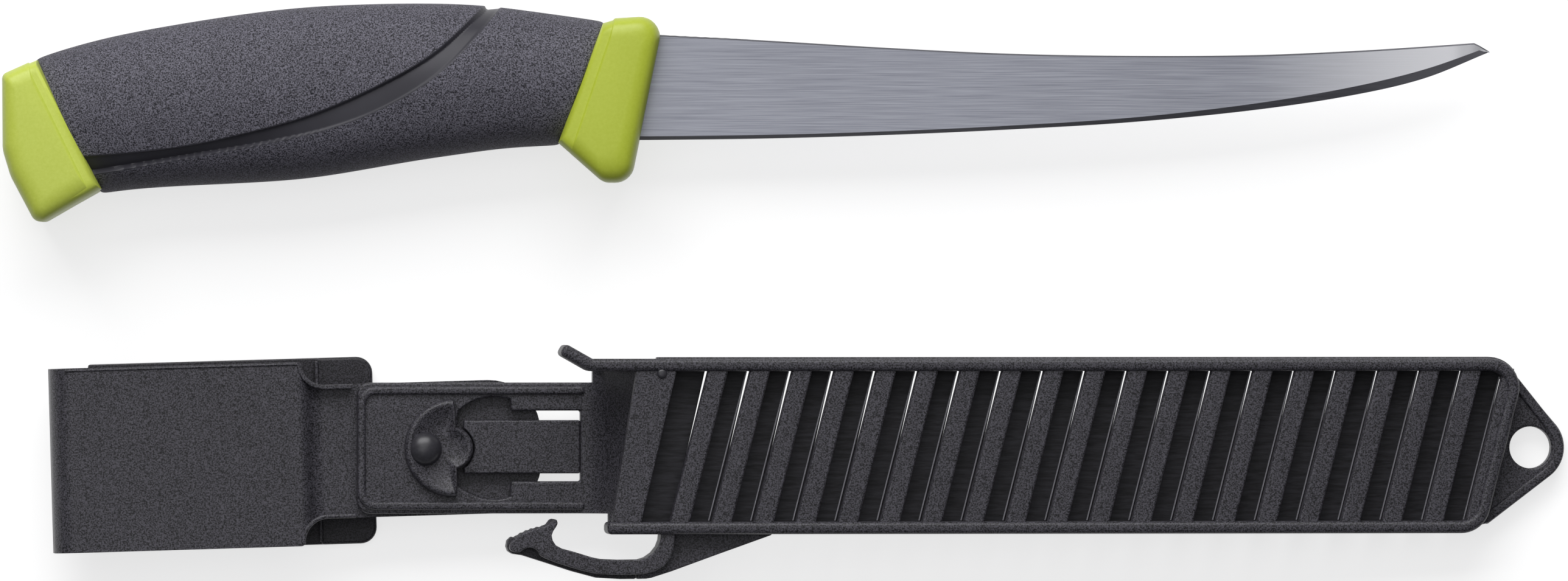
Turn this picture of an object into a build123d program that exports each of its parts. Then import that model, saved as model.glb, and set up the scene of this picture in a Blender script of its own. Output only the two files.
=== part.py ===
from build123d import *
import math
import os

# A fillet knife and its slatted sheath, lying side by side. Millimetres, +Z up, +X from butt to tip.
# The origin is the middle of the pair, on the surface that they lie on.

os.makedirs("parts", exist_ok=True)

# One overrun for every cut
overrun = 6

# Knife: the guard's front face and the blade's centre line, from the middle of the pair
knife_x = -24.7
knife_y = 37.6

# Blade, with its hidden shoulder and tang
blade_length = 154.6
blade_height = 19.4
blade_thickness = 1.7
edge_thickness = 0.15
shoulder_depth = 5
tang_length = 85
tang_width = 9
tang_end_width = 6.5
# Along the blade, spine, edge, bevel and thickness: shares of length, height (three) and thickness
blade_shares = [
    (0.000, 0.502, -0.502, 0.034, 1.00),
    (0.137, 0.445, -0.488, 0.034, 0.98),
    (0.283, 0.375, -0.454, 0.034, 0.95),
    (0.428, 0.320, -0.402, 0.036, 0.91),
    (0.573, 0.300, -0.332, 0.042, 0.86),
    (0.719, 0.307, -0.217, 0.060, 0.80),
    (0.835, 0.345, -0.078, 0.078, 0.75),
    (0.922, 0.388, 0.084, 0.084, 0.70),
    (1.000, 0.432, 0.335, 0.050, 0.65),
]
# The small clip that ends the spine: its two ends
tip_clip_shares = [(0.983, 0.421), (1.000, 0.340)]

# Handle
handle_length = 120
handle_height = 30.8
handle_thickness = 23.4
rest_flat = 0.5
grip_wall = 2.5
groove_depth = 0.6
grip_fullness = 2.3
core_fullness = 2.6
butt_rounding = 2.2
outline_points = 16
# Along, top, bottom and thickness of the upright sections of the grip and of the stem inside it
grip_shares = [
    (-0.984, 0.133, -0.700, 0.88),
    (-0.909, 0.226, -0.676, 0.90),
    (-0.816, 0.327, -0.620, 0.92),
    (-0.703, 0.407, -0.589, 0.94),
    (-0.581, 0.469, -0.573, 0.94),
    (-0.460, 0.505, -0.520, 0.92),
    (-0.347, 0.516, -0.436, 0.88),
    (-0.235, 0.495, -0.374, 0.85),
    (-0.160, 0.449, -0.359, 0.85),
    (-0.085, 0.407, -0.352, 0.87),
    (-0.029, 0.378, -0.352, 0.88),
]
# Top point, bottom point and thickness of the leaning sections of the butt and the guard
butt_shares = [
    (-0.946, 0.148, -0.850, -0.615, 0.87),
    (-0.965, 0.128, -0.883, -0.712, 0.95),
    (-0.986, 0.098, -0.917, -0.783, 0.98),
    (-1.007, 0.071, -0.951, -0.834, 0.97),
    (-1.036, 0.030, -1.010, -0.940, 0.95),
]
guard_shares = [
    (-0.074, 0.394, -0.141, -0.352, 0.83),
    (-0.062, 0.411, -0.115, -0.440, 0.93),
    (-0.038, 0.420, -0.081, -0.542, 0.99),
    (-0.012, 0.424, -0.050, -0.557, 0.99),
    (0.008, 0.392, -0.026, -0.462, 0.93),
    (0.015, 0.319, -0.014, -0.305, 0.72),
]
# The butt's end, from above the top to below the bottom
butt_end_shares = [(-0.993, 0.195), (-0.997, 0.075), (-0.998, -0.133), (-0.996, -0.378), (-0.984, -0.535),
                   (-0.951, -0.776), (-0.933, -0.907), (-0.915, -1.050)]
# The two edges of the smooth groove that runs in an S from the back to the butt
groove_upper_shares = [(-0.254, 0.540), (-0.264, 0.462), (-0.331, 0.210), (-0.412, 0.020), (-0.519, -0.166),
                       (-0.626, -0.283), (-0.734, -0.367), (-0.874, -0.418), (-0.960, -0.432)]
groove_lower_shares = [(-0.229, 0.540), (-0.234, 0.473), (-0.267, 0.316), (-0.331, 0.064), (-0.412, -0.126),
                       (-0.493, -0.250), (-0.583, -0.334), (-0.681, -0.407), (-0.842, -0.516),
                       (-0.940, -0.580)]

# Sheath: its datum is the throat's upper corner, on the blade's mid-plane
sheath_x = -28.4
sheath_y = -28.65

# Body of the sheath
body_length = 166
body_height = 32.3
body_back = 4
body_front = 4.4
rim_width = 2.3
rim_rounding = 1
end_corner = 5.5
top_rail_lead = 7.1
bottom_rail_lead = 4.8
pocket_depth = 3.6
slat_thickness = 2
bar_thickness = 1.9
slat_lean = 14.2
slat_pitch = 7.77
slat_width = 3.65
slat_rounding = 0.5
slat_offset = 10
slit_width = 0.1
throat_edge = 4.75
throat_corner = 4
rim_stop_radius = 0.85
rim_stop_x = 5.2
rim_stop_inset = 0.85

# Guide tab at the throat's upper corner
tab_thickness = 1.9
tab_reach = 5.4
tab_rise = 1.6
tab_half_depth = 3.6

# Neck, behind the handle
neck_drop = 13
neck_wall = 2.4
neck_width = 24.2
neck_shift = -0.4
neck_start = -49.6
neck_end = -5.9
neck_corner = 2.1
bead_width = 1.5
bead_height = 0.5
bead_inset = 0.7
bead_end = -7.6
ramp_wall = 2.2
ramp_foot = 2
key_radius = 9.5
key_x = -24.3
key_left = -31
key_right = -20.9
key_clearance = 0.35

# Lock tongue, between two slots of the neck
tongue_width = 9.8
tongue_wall = 1.8
tongue_root = -8.3
slot_width = 1.7
tongue_wrap = 2

# Release arm, its bracket and the web behind them
arm_split = 0.45
arm_half_depth = 3.5
web_thickness = 2
# Outline of the arm from its cut, round the thumb pad and the tooth: shares of reach and of drop
arm_reach = 24.3
arm_drop = 8.2
arm_outer_shares = [(0.00, -1.000), (-0.295, -0.985), (-0.620, -0.790), (-0.905, -0.470)]
arm_pad_shares = [(-0.965, -0.420), (-0.985, -0.290), (-0.860, 0.030), (-0.715, 0.165), (-0.640, 0.260),
                  (-0.590, 0.295), (-0.590, 0.220), (-0.650, 0.080)]
arm_inner_shares = [(-0.620, -0.225), (-0.520, -0.410), (-0.330, -0.540), (-0.200, -0.570), (0.00, -0.585)]
bracket_shares = [(0.000, -0.585), (0.060, -0.570), (0.140, -0.400), (0.180, 0.000), (0.300, 0.000),
                  (0.240, -0.480), (0.165, -0.750), (0.085, -0.890), (0.000, -1.000)]
web_shares = [(0.300, 0.000), (0.990, 0.000), (0.615, -0.370), (0.395, -0.620), (0.205, -0.880),
              (0.050, -0.985), (0.085, -0.890), (0.165, -0.750), (0.240, -0.480)]

# Tail plate and its eyelet, measured from the body's end
eyelet_offset = 0.9
eyelet_y = -0.35
eyelet_radius = 3.87
eyelet_wall = 2.75
tail_thickness = 3
tail_drop = 0.2
tail_seat_radius = 1
tail_bead_width = 2
tail_bead_height = 0.6
tail_upper_share = 0.72
tail_lower_share = 0.86

# Belt clip: measured from its stud, and turned a little on it
clip_turn = 1.65
clip_wall = 2.2
clip_gap = 0.2
clip_width = 34.6
strap_width = 23.6
clip_left = -73.6
clip_shoulder = -26.3
strap_end = 16.6
step_length = 2.2
step_rounding = 1.5
clip_rise = 2.2
belt_gap = 6
fold_rounding = 3.2
shoulder_rounding = 2
leg_root = -66
leg_end = -13.4
leg_corner = 3
lip_height = 0.8
lip_width = 3
stud_x = -32.2
stud_radius = 8.8
stud_offset = 0.7
stud_flat = 1.2
stem_radius = 3.9
head_gap = 0.2
head_thickness = 1.6
dish_radius = 16
dish_depth = 0.7
ball_x = -4.7
ball_radius = 2.8
ball_proud = 1.2

# How many slats fit
slat_count = int((body_length - slat_offset) / slat_pitch)

# Heights and depths that follow from the sizes above
knife_level = handle_thickness / 2 - rest_flat
neck_top = -neck_drop
neck_bottom = neck_top - neck_wall
strap_top = neck_bottom - clip_gap
strap_bottom = strap_top - clip_wall
leg_top = strap_bottom - belt_gap
leg_bottom = leg_top - clip_wall
front_leg_top = strap_top + clip_rise
eyelet_x = body_length + eyelet_offset
eyelet_outer = eyelet_radius + eyelet_wall
tail_bottom = -body_back - tail_drop

# The sheath rests on the rear leg's free end and on its tail, so it tilts
leg_end_x = stud_x + leg_end
tail_end_x = eyelet_x + eyelet_outer
sheath_tilt = math.atan2(tail_bottom - leg_bottom, tail_end_x - leg_end_x)
sheath_level = -leg_bottom * math.cos(sheath_tilt) + leg_end_x * math.sin(sheath_tilt)

# Working planes
knife_plane = Plane(origin=(knife_x, knife_y, knife_level))
sheath_plane = Plane(
    origin=(sheath_x, sheath_y, sheath_level),
    x_dir=(math.cos(sheath_tilt), 0, -math.sin(sheath_tilt)),
    z_dir=(math.sin(sheath_tilt), 0, math.cos(sheath_tilt)),
)
stud_origin = sheath_plane.from_local_coords((stud_x, neck_shift, 0))
clip_plane = Plane(origin=stud_origin, x_dir=sheath_plane.x_dir, z_dir=sheath_plane.z_dir)
clip_plane = clip_plane.rotated((0, 0, clip_turn))
sheath_side = Plane(origin=sheath_plane.origin, x_dir=sheath_plane.x_dir, z_dir=-sheath_plane.y_dir)
clip_side = Plane(origin=clip_plane.origin, x_dir=clip_plane.x_dir, z_dir=-clip_plane.y_dir)
sheath_axis = Axis(sheath_plane.origin, sheath_plane.z_dir)
rail_axis = Axis(sheath_plane.origin, sheath_plane.x_dir)


def scaled(shares, length, height):
    return [(x * length, y * height) for x, y in shares]


def oval_points(half_height, half_width, fullness):
    points = []
    for step in range(outline_points):
        turn = 2 * math.pi * step / outline_points
        across = math.copysign(abs(math.cos(turn)) ** (2 / fullness), math.cos(turn))
        out = math.copysign(abs(math.sin(turn)) ** (2 / fullness), math.sin(turn))
        points.append((across * half_height, out * half_width))
    return points


def oval_section(top_x, top_y, bottom_x, bottom_y, thickness, fullness, growth=0):
    # A rounded section that stands on the line between two points of the handle's outline
    top = Vector(top_x * handle_length, top_y * handle_height)
    bottom = Vector(bottom_x * handle_length, bottom_y * handle_height)
    rise = top - bottom
    middle = knife_plane.from_local_coords((top + bottom) / 2)
    half_height = rise.length / 2 + growth
    half_width = thickness * handle_thickness / 2 + growth
    with BuildSketch(Plane(origin=middle, x_dir=rise, z_dir=rise.cross(Vector(0, 0, 1)))) as section:
        with BuildLine():
            Spline(*oval_points(half_height, half_width, fullness), periodic=True)
        make_face()
    return section.sketch


def grip_sections(growth):
    sections = []
    for x, top, bottom, thickness in grip_shares:
        sections.append(oval_section(x, top, x, bottom, thickness, grip_fullness, growth))
    return sections


def blade_section(along, spine_share, edge_share, bevel_share, thickness_share):
    half = blade_thickness * thickness_share / 2
    half_edge = edge_thickness / 2
    spine = spine_share * blade_height
    edge = edge_share * blade_height
    bevel = edge + bevel_share * blade_height
    origin = knife_plane.from_local_coords((along, 0, 0))
    with BuildSketch(Plane(origin=origin, x_dir=(0, 1, 0), z_dir=(1, 0, 0))) as section:
        with BuildLine():
            Polyline((spine, half), (spine, -half), (bevel, -half), (edge, -half_edge), (edge, half_edge),
                     (bevel, half), close=True)
        make_face()
    return section.sketch


def boundary_plane(station):
    # The plane across the handle through a leaning section, facing the blade
    top = knife_plane.from_local_coords((station[0] * handle_length, station[1] * handle_height, 0))
    bottom = knife_plane.from_local_coords((station[2] * handle_length, station[3] * handle_height, 0))
    return Plane(origin=bottom, x_dir=top - bottom, z_dir=(top - bottom).cross(Vector(0, 0, 1)))


def finish(part, label):
    part.label = label
    export_step(part, "parts/" + label + ".step")


# Blade: distal taper, fine bevel along the edge, clipped tip, shoulder and tang
with BuildPart() as blade:
    heel = blade_shares[0]
    stations = [blade_section(-shoulder_depth, *heel[1:])]
    stations += [blade_section(share[0] * blade_length, *share[1:]) for share in blade_shares]
    loft(sections=stations)
    with BuildSketch(knife_plane):
        with BuildLine():
            clip_start, clip_end = scaled(tip_clip_shares, blade_length, blade_height)
            run = Vector(*clip_end) - Vector(*clip_start)
            Polyline(
                Vector(*clip_start) - run,
                Vector(*clip_end) + run,
                Vector(*clip_end) + run + Vector(overrun, 0),
                Vector(*clip_start) - run + Vector(overrun, 0),
                close=True,
            )
        make_face()
    extrude(amount=blade_thickness, both=True, mode=Mode.SUBTRACT)
    with BuildSketch(knife_plane):
        with BuildLine():
            Polyline(
                (-shoulder_depth, tang_width / 2),
                (-tang_length, tang_end_width / 2),
                (-tang_length, -tang_end_width / 2),
                (-shoulder_depth, -tang_width / 2),
                close=True,
            )
        make_face()
    extrude(amount=blade_thickness / 2, both=True)

# Stem: the grip's own form, one wall smaller
with BuildPart() as stem:
    loft(sections=grip_sections(-grip_wall))

# Butt, cut to its end curve and rounded there
with BuildPart() as butt:
    loft(sections=[oval_section(*station, core_fullness) for station in butt_shares])
    with BuildSketch(knife_plane):
        with BuildLine():
            end_points = scaled(butt_end_shares, handle_length, handle_height)
            Spline(*end_points)
            Polyline(
                end_points[-1],
                (end_points[-1][0] - handle_thickness, end_points[-1][1]),
                (end_points[0][0] - handle_thickness, end_points[0][1]),
                end_points[0],
            )
        make_face()
    extrude(amount=handle_thickness, both=True, mode=Mode.SUBTRACT)
    end_face = butt.faces().sort_by(Axis.X)[0]
    fillet(end_face.edges(), butt_rounding)

# Handle core: guard, stem and butt in one, flattened where the knife rests, round the tang
with BuildPart() as handle_core:
    loft(sections=[oval_section(*station, core_fullness) for station in guard_shares])
    add(butt.part)
    add(stem.part)
    for side in (1, -1):
        with BuildSketch(knife_plane.offset(side * knife_level)):
            with Locations((-handle_length / 2, 0)):
                Rectangle(2 * handle_length, 3 * handle_height)
        extrude(amount=side * overrun, mode=Mode.SUBTRACT)
    add(blade.part, mode=Mode.SUBTRACT)

# Grip: moulded over the stem between butt and guard, with the smooth groove on both sides
with BuildPart() as groove_floor:
    loft(sections=grip_sections(-groove_depth))

with BuildPart() as groove_band:
    with BuildSketch(knife_plane):
        with BuildLine():
            upper = scaled(groove_upper_shares, handle_length, handle_height)
            lower = scaled(groove_lower_shares, handle_length, handle_height)
            Spline(*upper)
            Spline(*lower)
            Line(upper[0], lower[0])
            Line(upper[-1], lower[-1])
        make_face()
    extrude(amount=handle_thickness, both=True)
    add(groove_floor.part, mode=Mode.SUBTRACT)

with BuildPart() as grip:
    loft(sections=grip_sections(0))
    split(bisect_by=boundary_plane(butt_shares[0]), keep=Keep.TOP)
    split(bisect_by=boundary_plane(guard_shares[0]), keep=Keep.BOTTOM)
    add(stem.part, mode=Mode.SUBTRACT)
    add(groove_band.part, mode=Mode.SUBTRACT)

finish(blade.part, "blade")
finish(handle_core.part, "handle_core")
finish(grip.part, "grip")


def body_outline(inset, left_reach=0):
    # The sheath's body seen from the front, with a slanted end and open to the left
    half = body_height / 2 - inset
    slant = math.tan(math.radians(slat_lean))
    end_inset = inset / math.cos(math.radians(slat_lean))
    top_right = body_length - end_inset - inset * slant
    bottom_right = body_length - body_height * slant - end_inset + inset * slant
    with BuildSketch(Plane.XY) as outline:
        with BuildLine():
            Polyline(
                (-top_rail_lead - left_reach, half),
                (top_right, half),
                (bottom_right, -half),
                (-bottom_rail_lead - left_reach, -half),
                close=True,
            )
        make_face()
        fillet(outline.vertices().sort_by(Axis.X)[-2:], end_corner - inset)
    return outline.sketch


def leaning_bar(left, width):
    # A slat or bar between the rails; its place is measured along the middle of the body
    half = body_height / 2
    shift = half * math.tan(math.radians(slat_lean))
    with BuildSketch(Plane.XY) as bar:
        with BuildLine():
            Polyline(
                (left + shift, half),
                (left + width + shift, half),
                (left + width - shift, -half),
                (left - shift, -half),
                close=True,
            )
        make_face()
    return bar.sketch


inner_outline = body_outline(rim_width, overrun)
neck_middle = (neck_start + neck_end) / 2

# Rim: both rails and the slanted end, rounded like a bead
with BuildPart() as body_rim:
    with BuildSketch(sheath_plane.offset(-body_back)):
        add(body_outline(0))
        add(inner_outline, mode=Mode.SUBTRACT)
    extrude(amount=body_back + body_front)
    front_face = body_rim.faces().group_by(sheath_axis)[-1]
    back_face = body_rim.faces().group_by(sheath_axis)[0]
    fillet(front_face.edges() + back_face.edges(), rim_rounding)

# Front slats: sloping strips between the rails, the last one cut by the slanted end
with BuildPart() as front_slats:
    with BuildSketch(sheath_plane.offset(pocket_depth / 2)):
        for index in range(slat_count - 1):
            add(leaning_bar(slat_offset + index * slat_pitch, slat_width))
        add(inner_outline, mode=Mode.INTERSECT)
    extrude(amount=slat_thickness)
    slat_tops = front_slats.faces().group_by(sheath_axis)[-1]
    fillet(slat_tops.edges().filter_by(rail_axis, reverse=True), slat_rounding)
    with BuildSketch(sheath_plane.offset(pocket_depth / 2)):
        add(leaning_bar(slat_offset + (slat_count - 1) * slat_pitch, slat_width))
        add(inner_outline, mode=Mode.INTERSECT)
    extrude(amount=slat_thickness)

# Back bars: they close the gaps between the slats, all but a slit
with BuildPart() as back_bars:
    with BuildSketch(sheath_plane.offset(-pocket_depth / 2)):
        add(leaning_bar(throat_edge, slat_offset - slit_width - throat_edge))
        for index in range(slat_count - 1):
            bar_left = slat_offset + index * slat_pitch + slat_width
            add(leaning_bar(bar_left, slat_pitch - slat_width - slit_width))
        add(inner_outline, mode=Mode.INTERSECT)
    extrude(amount=-bar_thickness)

# Throat panel: the wide first strip, with the small stop beside the upper rail
with BuildPart() as throat_panel:
    with BuildSketch(sheath_plane.offset(pocket_depth / 2)):
        with BuildLine():
            half = body_height / 2
            lean = half * math.tan(math.radians(slat_lean))
            Polyline(
                (0, half),
                (throat_edge + lean, half),
                (throat_edge - lean, -half),
                (-throat_corner, -half),
                close=True,
            )
        make_face()
        add(inner_outline, mode=Mode.INTERSECT)
    extrude(amount=slat_thickness)
    with BuildSketch(sheath_plane.offset(pocket_depth / 2)):
        with Locations((rim_stop_x, body_height / 2 - rim_width - rim_stop_inset)):
            Circle(rim_stop_radius)
    extrude(amount=body_front - pocket_depth / 2)

# Guide tab: flares out from the upper rail
with BuildPart() as guide_tab:
    tab_root = (-top_rail_lead, body_height / 2 - rim_width / 2)
    tab_tip = (-top_rail_lead - tab_reach, body_height / 2 + tab_rise)
    with BuildSketch(sheath_plane):
        tab_run = Vector(*tab_tip) - Vector(*tab_root)
        with Locations((Vector(*tab_tip) + Vector(*tab_root)) / 2):
            tab_angle = math.degrees(math.atan2(tab_run.Y, tab_run.X))
            SlotCenterToCenter(tab_run.length, tab_thickness, rotation=tab_angle)
    extrude(amount=tab_half_depth, both=True)
    add(body_rim.part, mode=Mode.SUBTRACT)

# Ramp: climbs from the neck to the back of the pocket under the throat panel
back_top = -pocket_depth / 2
back_bottom = back_top - bar_thickness
with BuildPart() as neck_ramp:
    slope = math.atan2(back_top - neck_top, ramp_foot - neck_end)
    under_x = neck_end + ramp_wall * math.sin(slope)
    under_z = neck_top - ramp_wall * math.cos(slope)
    with BuildSketch(sheath_side):
        with BuildLine():
            Polyline(
                (neck_end, neck_top),
                (ramp_foot, back_top),
                (throat_edge + throat_corner, back_top),
                (throat_edge + throat_corner, back_bottom),
                (under_x + (back_bottom - under_z) / math.tan(slope), back_bottom),
                (under_x + (neck_bottom - under_z) / math.tan(slope), neck_bottom),
                (neck_end, neck_bottom),
                close=True,
            )
        make_face()
    extrude(amount=body_height / 2, both=True)
    with BuildSketch(sheath_plane.offset(neck_bottom)):
        add(leaning_bar(-2 * neck_drop, throat_edge + 2 * neck_drop))
        with Locations((0, neck_shift)):
            Rectangle(body_length, neck_width, mode=Mode.INTERSECT)
        add(leaning_bar(ramp_foot, throat_edge - ramp_foot))
        add(inner_outline, mode=Mode.INTERSECT)
    extrude(amount=neck_drop, mode=Mode.INTERSECT)

# Neck: a flat plate with a raised border, the keyhole for the clip's stud and the tongue's window
window_half = tongue_width / 2 + slot_width
with BuildPart() as neck_plate:
    with BuildSketch(sheath_plane.offset(neck_bottom)) as neck_sketch:
        with Locations((neck_middle, neck_shift)):
            Rectangle(neck_end - neck_start, neck_width)
        fillet(neck_sketch.vertices().group_by(Axis.X)[0], neck_corner)
    extrude(amount=neck_wall)
    with BuildSketch(sheath_plane.offset(neck_top)) as bead_sketch:
        with Locations(((neck_start + bead_end) / 2, neck_shift)):
            Rectangle(bead_end - neck_start, neck_width - 2 * bead_inset)
        fillet(bead_sketch.vertices().group_by(Axis.X)[0], neck_corner)
        bead_inner = neck_start + bead_width
        bead_open = bead_end + overrun
        with Locations(((bead_inner + bead_open) / 2, neck_shift)):
            bead_span = neck_width - 2 * (bead_inset + bead_width)
            Rectangle(bead_open - bead_inner, bead_span, mode=Mode.SUBTRACT)
    extrude(amount=bead_height)
    with BuildSketch(sheath_plane.offset(neck_bottom)):
        with Locations((key_x, neck_shift)):
            Circle(key_radius)
        with Locations(((key_left + key_right) / 2, neck_shift)):
            Rectangle(key_right - key_left, 2 * key_radius, mode=Mode.INTERSECT)
        with Locations((stud_x, neck_shift)):
            Circle(stem_radius + key_clearance)
        with Locations(((stud_x + key_left) / 2, neck_shift)):
            Rectangle(key_left - stud_x, 2 * (stem_radius + key_clearance))
        with Locations(((key_right + tongue_root) / 2, neck_shift)):
            Rectangle(tongue_root - key_right, 2 * window_half)
    extrude(amount=neck_wall, mode=Mode.SUBTRACT)

# Tongue: rooted at the window's right end, hollowed round the stud's stem
with BuildPart() as lock_tongue:
    tongue_tip = stud_x + stem_radius + key_clearance - tongue_wrap
    with BuildSketch(sheath_plane.offset(neck_top)):
        with Locations(((tongue_tip + tongue_root) / 2, neck_shift)):
            Rectangle(tongue_root - tongue_tip, tongue_width)
        with Locations((stud_x, neck_shift)):
            Circle(stem_radius + key_clearance, mode=Mode.SUBTRACT)
    extrude(amount=-tongue_wall)

# Release arm: a curved bar with a thumb pad and the tooth that holds the guard
arm_top = -body_height / 2


def arm_points(shares):
    return [(arm_split + x * arm_reach, arm_top + y * arm_drop) for x, y in shares]


with BuildPart() as release_arm:
    with BuildSketch(sheath_plane):
        with BuildLine():
            outer = arm_points(arm_outer_shares)
            pad = arm_points(arm_pad_shares)
            inner = arm_points(arm_inner_shares)
            Spline(*outer)
            Polyline(outer[-1], *pad, inner[0])
            Spline(*inner)
            Line(inner[-1], outer[0])
        make_face()
    extrude(amount=arm_half_depth, both=True)

# Bracket: carries the arm from the lower rail, with a thin web behind
with BuildPart() as arm_bracket:
    with BuildSketch(sheath_plane):
        with BuildLine():
            Polyline(*arm_points(bracket_shares), close=True)
        make_face()
    extrude(amount=arm_half_depth, both=True)
    with BuildSketch(sheath_plane.offset(-arm_half_depth)):
        with BuildLine():
            Polyline(*arm_points(web_shares), close=True)
        make_face()
    extrude(amount=web_thickness)

# Tail plate with the eyelet, outside the slanted end
slant = math.tan(math.radians(slat_lean))
with BuildPart() as tail_plate:
    with BuildSketch(sheath_plane.offset(tail_bottom)):
        with BuildSketch(Plane.XY, mode=Mode.PRIVATE) as tail_points:
            with Locations((eyelet_x, eyelet_y)):
                Circle(eyelet_outer)
            upper_y = tail_upper_share * body_height / 2
            lower_y = -tail_lower_share * body_height / 2
            middle_x = body_length - body_height / 2 * slant
            upper_seat = (middle_x + upper_y * slant, upper_y)
            lower_seat = (middle_x + lower_y * slant, lower_y)
            with Locations(upper_seat, lower_seat):
                Circle(tail_seat_radius)
            make_hull()
        add(tail_points.sketch)
        add(body_outline(0), mode=Mode.SUBTRACT)
        with Locations((eyelet_x, eyelet_y)):
            Circle(eyelet_radius, mode=Mode.SUBTRACT)
    extrude(amount=tail_thickness)
    with BuildSketch(sheath_plane.offset(tail_bottom + tail_thickness)):
        add(tail_points.sketch)
        offset(tail_points.sketch, amount=-tail_bead_width, mode=Mode.SUBTRACT)
        add(body_outline(0), mode=Mode.SUBTRACT)
        with Locations((eyelet_x, eyelet_y)):
            Circle(eyelet_radius, mode=Mode.SUBTRACT)
    extrude(amount=tail_bead_height)

# Belt clip: strap, step, front leg and fold as one bent strip, cut to its outline
strap_middle = strap_top - clip_wall / 2
front_middle = front_leg_top - clip_wall / 2
rear_middle = leg_bottom + clip_wall / 2
fold_x = clip_left + clip_wall / 2
with BuildPart() as belt_clip:
    with BuildSketch(clip_side):
        with BuildLine() as clip_line:
            FilletPolyline(
                (strap_end, strap_middle),
                (clip_shoulder + step_length, strap_middle),
                (clip_shoulder, front_middle),
                (fold_x, front_middle),
                (fold_x, rear_middle),
                (leg_root, rear_middle),
                radius=(step_rounding, step_rounding, fold_rounding, fold_rounding),
            )
        trace(line_width=clip_wall)
    extrude(amount=clip_width / 2, both=True)
    with BuildSketch(clip_plane.offset(leg_bottom - overrun)) as clip_sketch:
        with Locations(((clip_left + clip_shoulder) / 2, 0)):
            Rectangle(clip_shoulder - clip_left, clip_width)
        with Locations(((clip_shoulder + strap_end) / 2, 0)):
            Rectangle(strap_end - clip_shoulder, strap_width)
        fillet(clip_sketch.vertices().group_by(Axis.X)[1], shoulder_rounding)
    extrude(amount=2 * overrun - leg_bottom, mode=Mode.INTERSECT)

# Rear leg: from the fold to its free end, with a lip inside
with BuildPart() as clip_leg:
    with BuildSketch(clip_plane.offset(leg_bottom)) as leg_sketch:
        with Locations(((leg_root + leg_end) / 2, 0)):
            Rectangle(leg_end - leg_root, clip_width)
        fillet(leg_sketch.vertices().group_by(Axis.X)[-1], leg_corner)
    extrude(amount=clip_wall)
    with BuildSketch(clip_side):
        with Locations((leg_end - leg_corner, leg_top)):
            Ellipse(lip_width / 2, lip_height)
    extrude(amount=clip_width / 2 - leg_corner, both=True)

# Stud: a dished half-moon head with a ball, on the stem that goes through the keyhole
head_bottom = neck_top + head_gap
head_top = head_bottom + head_thickness
with BuildPart() as lock_stud:
    with BuildSketch(clip_plane.offset(head_bottom)):
        with Locations((stud_offset, 0)):
            Circle(stud_radius)
        with Locations((stud_flat - stud_radius, 0)):
            Rectangle(2 * stud_radius, 2 * stud_radius, mode=Mode.INTERSECT)
        Circle(stem_radius)
    extrude(amount=head_thickness)
    with Locations(clip_plane.offset(head_top + dish_radius - dish_depth)):
        with Locations((stud_offset, 0)):
            Sphere(dish_radius, mode=Mode.SUBTRACT)
    with Locations(clip_plane.offset(head_top + ball_proud - ball_radius)):
        with Locations((ball_x, 0)):
            Sphere(ball_radius)
    split(bisect_by=clip_plane.offset(head_bottom), keep=Keep.TOP)
    with BuildSketch(clip_plane.offset(strap_top)):
        Circle(stem_radius)
    extrude(amount=head_bottom - strap_top)

finish(body_rim.part, "body_rim")
finish(front_slats.part, "front_slats")
finish(back_bars.part, "back_bars")
finish(throat_panel.part, "throat_panel")
finish(guide_tab.part, "guide_tab")
finish(neck_ramp.part, "neck_ramp")
finish(neck_plate.part, "neck_plate")
finish(lock_tongue.part, "lock_tongue")
finish(release_arm.part, "release_arm")
finish(arm_bracket.part, "arm_bracket")
finish(tail_plate.part, "tail_plate")
finish(belt_clip.part, "belt_clip")
finish(clip_leg.part, "clip_leg")
finish(lock_stud.part, "lock_stud")
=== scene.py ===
import bpy
import math
import numpy as np
from mathutils import Matrix, Vector


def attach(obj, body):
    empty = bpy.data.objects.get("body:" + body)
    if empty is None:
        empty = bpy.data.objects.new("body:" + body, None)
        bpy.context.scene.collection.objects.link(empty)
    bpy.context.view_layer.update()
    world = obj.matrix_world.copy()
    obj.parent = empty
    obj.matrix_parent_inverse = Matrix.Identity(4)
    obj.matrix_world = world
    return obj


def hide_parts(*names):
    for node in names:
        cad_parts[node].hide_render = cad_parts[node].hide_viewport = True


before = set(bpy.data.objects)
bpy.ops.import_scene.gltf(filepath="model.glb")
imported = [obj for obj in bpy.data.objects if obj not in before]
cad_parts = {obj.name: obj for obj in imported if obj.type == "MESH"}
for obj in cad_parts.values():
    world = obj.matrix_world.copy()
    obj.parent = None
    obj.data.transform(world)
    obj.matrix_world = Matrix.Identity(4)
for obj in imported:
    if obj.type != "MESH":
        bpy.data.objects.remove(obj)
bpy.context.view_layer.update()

# Fillet knife and its slatted sheath, seen from straight above.
# Pieces are modelled in millimetres where they are easy to draw, then put in place in metres.
mm = 0.001

# Where the knife, the sheath and its belt clip lie
layout = {
    "knife": (-24.7, 37.6, 11.2),
    "sheath": (-28.4, -28.65, 21.358),
    "tilt": 5.6816,
    "stud": (-32.2, -0.4),
    "clipTurn": 1.65,
}
knifePlace = Matrix.Scale(mm, 4) @ Matrix.Translation(layout["knife"])
sheathPlace = (Matrix.Scale(mm, 4) @ Matrix.Translation(layout["sheath"])
               @ Matrix.Rotation(math.radians(layout["tilt"]), 4, "Y"))
clipPlace = (sheathPlace @ Matrix.Translation((*layout["stud"], 0))
             @ Matrix.Rotation(math.radians(layout["clipTurn"]), 4, "Z"))


# Helpers

def deselect():
    if bpy.context.object and bpy.context.object.mode != "OBJECT":
        bpy.ops.object.mode_set(mode="OBJECT")
    bpy.ops.object.select_all(action="DESELECT")


def only(piece):
    deselect()
    piece.select_set(True)
    bpy.context.view_layer.objects.active = piece


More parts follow.
